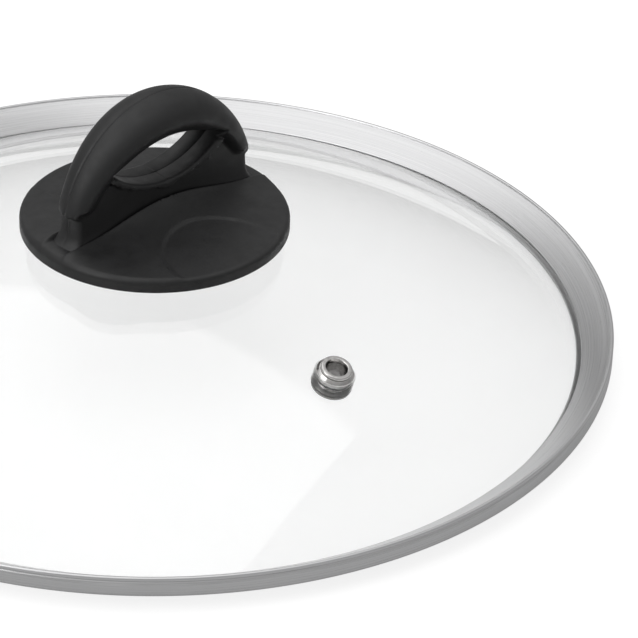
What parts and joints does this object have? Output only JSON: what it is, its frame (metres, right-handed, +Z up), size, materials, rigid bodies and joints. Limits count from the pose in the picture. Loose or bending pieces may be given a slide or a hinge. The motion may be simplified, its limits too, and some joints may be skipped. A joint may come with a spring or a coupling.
{
  "type": "glass saucepan lid",
  "caption": "Round domed tempered glass saucepan lid with a rolled steel rim, a riveted steam vent and a looped moulded knob.",
  "frame": {"origin": "on the lid's axis, in the plane of the lowest ring of the rim, which is what the lid stands on when it lies on a worktop", "axes": "+Z up along the lid's axis, X along the knob's loop, and the steam vent on the -Y side"},
  "size_m": [0.246, 0.246, 0.076],
  "materials": {
    "tempered_glass": "clear, polished, ground edge",
    "satin_stainless": "satin, brushed along the band",
    "clear_sealant": "translucent silicone",
    "black_moulding": "fine matt spark-eroded texture",
    "grey_silicone": "smooth translucent silicone",
    "brass": "machined",
    "plated_steel": "bright plated",
    "clear_silicone": "smooth translucent silicone",
    "bright_stainless": "bright pressed stainless"
  },
  "bodies": {
    "root": {"glass_dome": "tempered_glass", "rim_band": "satin_stainless", "rim_sealant": "clear_sealant", "knob_body": "black_moulding", "knob_gasket": "grey_silicone", "knob_insert": "brass", "knob_screw": "plated_steel", "screw_washer": "plated_steel", "screw_gasket": "grey_silicone", "vent_gasket": "clear_silicone", "vent_collar": "bright_stainless", "vent_eyelet": "bright_stainless", "vent_backing_washer": "bright_stainless"}
  },
  "joints": []
}
